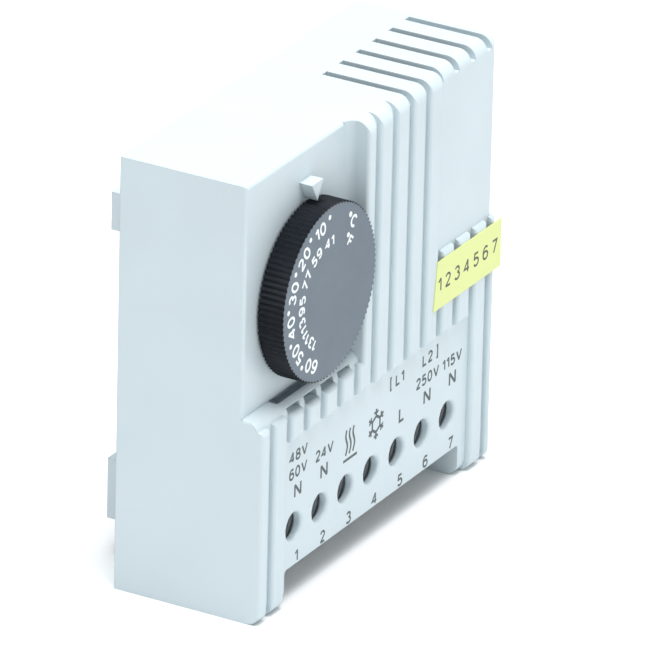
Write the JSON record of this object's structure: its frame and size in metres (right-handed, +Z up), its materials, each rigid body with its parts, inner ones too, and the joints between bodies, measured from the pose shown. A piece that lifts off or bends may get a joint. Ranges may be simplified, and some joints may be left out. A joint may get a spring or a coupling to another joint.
{
  "type": "temperature controller",
  "caption": "Square light grey cabinet thermostat for a mounting rail: round setting dial in a recess, ribbed vented front and a row of screw terminals.",
  "frame": {"origin": "centre of the seat on the back of the case that rests on the mounting rail", "axes": "X to the right seen from the front, Y from the front to the back, Z up"},
  "size_m": [0.0726, 0.0335, 0.071],
  "materials": {
    "case_grey": "light grey moulded plastic, fine satin grain",
    "cover_grey": "light grey moulded plastic",
    "latch_grey": "mid grey moulded plastic",
    "spring_steel": "bright drawn spring wire",
    "dial_black": "black moulded plastic, satin face",
    "bright_steel": "zinc plated steel",
    "natural_plastic": "natural engineering plastic",
    "contact_bronze": "phosphor bronze sheet",
    "contact_silver": "polished silver contact",
    "dark_steel": "dark sintered or plain steel",
    "brass": "stamped brass",
    "bimetal": "rolled bimetal sheet",
    "white_ceramic": "glazed white ceramic",
    "board_green": "green coated laminate",
    "resistor_coat": "cement coated resistor body",
    "capacitor_red": "red moulded capacitor box",
    "block_grey": "dark grey moulded plastic",
    "plated_steel": "zinc plated pressed steel",
    "label_yellow": "pale yellow printed label stock"
  },
  "bodies": {
    "case": {"front_housing": "case_grey", "rear_cover": "cover_grey", "shaft_bush": "natural_plastic", "lever_pin": "bright_steel", "lever_clip": "spring_steel", "arm_post": "brass", "arm_clip": "spring_steel", "bimetal_bracket": "brass", "bimetal_rivet": "bright_steel", "calibration_screw": "bright_steel", "heating_contact": "brass", "cooling_contact": "brass", "snap_magnet": "dark_steel", "magnet_holder": "natural_plastic", "circuit_board": "board_green", "board_screws": "bright_steel", "feedback_resistors": "resistor_coat", "spark_capacitor": "capacitor_red", "terminal_block": "block_grey", "busbars": "brass", "marker_label": "label_yellow", "latch_springs": "spring_steel"},
    "latch": {"rail_latch": "latch_grey"},
    "dial": {"setting_dial": "dial_black", "dial_shaft": "bright_steel", "shaft_clip": "spring_steel", "setting_cam": "natural_plastic"},
    "lever": {"setting_lever": "bright_steel"},
    "arm": {"contact_arm": "contact_bronze", "moving_contact": "contact_silver", "magnet_armature": "dark_steel", "range_spring": "spring_steel"},
    "bimetal": {"bimetal_strip": "bimetal", "bimetal_pusher": "white_ceramic"},
    "screw_1": {"terminal_screw_1": "bright_steel"},
    "cage_1": {"clamp_cage_1": "plated_steel"},
    "screw_2": {"terminal_screw_2": "bright_steel"},
    "cage_2": {"clamp_cage_2": "plated_steel"},
    "screw_3": {"terminal_screw_3": "bright_steel"},
    "cage_3": {"clamp_cage_3": "plated_steel"},
    "screw_4": {"terminal_screw_4": "bright_steel"},
    "cage_4": {"clamp_cage_4": "plated_steel"},
    "screw_5": {"terminal_screw_5": "bright_steel"},
    "cage_5": {"clamp_cage_5": "plated_steel"},
    "screw_6": {"terminal_screw_6": "bright_steel"},
    "cage_6": {"clamp_cage_6": "plated_steel"},
    "screw_7": {"terminal_screw_7": "bright_steel"},
    "cage_7": {"clamp_cage_7": "plated_steel"}
  },
  "joints": [
    {"name": "dial_turn", "type": "hinge", "parent": "case", "child": "dial", "pos_m": [-0.018, -0.0222, 0.0127], "axis": [0, 1, 0], "range_deg": [0, 154]},
    {"name": "lever_swing", "type": "hinge", "parent": "case", "child": "lever", "pos_m": [-0.00815, -0.0172, 0.02561], "axis": [0, 1, 0], "range_deg": [0, 13.3], "deforming": ["range_spring"]},
    {"name": "contact_swing", "type": "hinge", "parent": "case", "child": "arm", "pos_m": [0.0115, -0.0132, -0.00316], "axis": [0, 1, 0], "range_deg": [0, 2.1], "stiffness_Nm_per_rad": 0.01, "springref_deg": -5.73},
    {"name": "bimetal_bend", "type": "hinge", "parent": "case", "child": "bimetal", "pos_m": [0.0079, -0.0132, -0.00797], "axis": [0, 1, 0], "range_deg": [0, 1.5]},
    {"name": "latch_slide", "type": "slide", "parent": "case", "child": "latch", "axis": [0, 0, -1], "range_m": [0, 0.003], "stiffness_N_per_m": 400, "springref_m": -0.002, "deforming": ["latch_springs"]},
    {"name": "screw_turn_1", "type": "hinge", "parent": "case", "child": "screw_1", "pos_m": [-0.0237, -0.0192, -0.02425], "axis": [0, 1, 0], "range_deg": [0, 1440.2]},
    {"name": "cage_lift_1", "type": "slide", "parent": "case", "child": "cage_1", "axis": [0, -1, 0], "range_m": [0, 0.002]},
    {"name": "screw_turn_2", "type": "hinge", "parent": "case", "child": "screw_2", "pos_m": [-0.01585, -0.0192, -0.02425], "axis": [0, 1, 0], "range_deg": [0, 1440.2]},
    {"name": "cage_lift_2", "type": "slide", "parent": "case", "child": "cage_2", "axis": [0, -1, 0], "range_m": [0, 0.002]},
    {"name": "screw_turn_3", "type": "hinge", "parent": "case", "child": "screw_3", "pos_m": [-0.008, -0.0192, -0.02425], "axis": [0, 1, 0], "range_deg": [0, 1440.2]},
    {"name": "cage_lift_3", "type": "slide", "parent": "case", "child": "cage_3", "axis": [0, -1, 0], "range_m": [0, 0.002]},
    {"name": "screw_turn_4", "type": "hinge", "parent": "case", "child": "screw_4", "pos_m": [-0.00015, -0.0192, -0.02425], "axis": [0, 1, 0], "range_deg": [0, 1440.2]},
    {"name": "cage_lift_4", "type": "slide", "parent": "case", "child": "cage_4", "axis": [0, -1, 0], "range_m": [0, 0.002]},
    {"name": "screw_turn_5", "type": "hinge", "parent": "case", "child": "screw_5", "pos_m": [0.0077, -0.0192, -0.02425], "axis": [0, 1, 0], "range_deg": [0, 1440.2]},
    {"name": "cage_lift_5", "type": "slide", "parent": "case", "child": "cage_5", "axis": [0, -1, 0], "range_m": [0, 0.002]},
    {"name": "screw_turn_6", "type": "hinge", "parent": "case", "child": "screw_6", "pos_m": [0.01555, -0.0192, -0.02425], "axis": [0, 1, 0], "range_deg": [0, 1440.2]},
    {"name": "cage_lift_6", "type": "slide", "parent": "case", "child": "cage_6", "axis": [0, -1, 0], "range_m": [0, 0.002]},
    {"name": "screw_turn_7", "type": "hinge", "parent": "case", "child": "screw_7", "pos_m": [0.0234, -0.0192, -0.02425], "axis": [0, 1, 0], "range_deg": [0, 1440.2]},
    {"name": "cage_lift_7", "type": "slide", "parent": "case", "child": "cage_7", "axis": [0, -1, 0], "range_m": [0, 0.002]}
  ],
  "couplings": [
    {"joint": "lever_swing", "follows": "dial_turn", "ratio": 0.086049},
    {"joint": "bimetal_bend", "follows": "contact_swing", "ratio": 0.6945},
    {"joint": "screw_turn_1", "follows": "cage_lift_1", "rad_per_m": 12566},
    {"joint": "screw_turn_2", "follows": "cage_lift_2", "rad_per_m": 12566},
    {"joint": "screw_turn_3", "follows": "cage_lift_3", "rad_per_m": 12566},
    {"joint": "screw_turn_4", "follows": "cage_lift_4", "rad_per_m": 12566},
    {"joint": "screw_turn_5", "follows": "cage_lift_5", "rad_per_m": 12566},
    {"joint": "screw_turn_6", "follows": "cage_lift_6", "rad_per_m": 12566},
    {"joint": "screw_turn_7", "follows": "cage_lift_7", "rad_per_m": 12566}
  ]
}
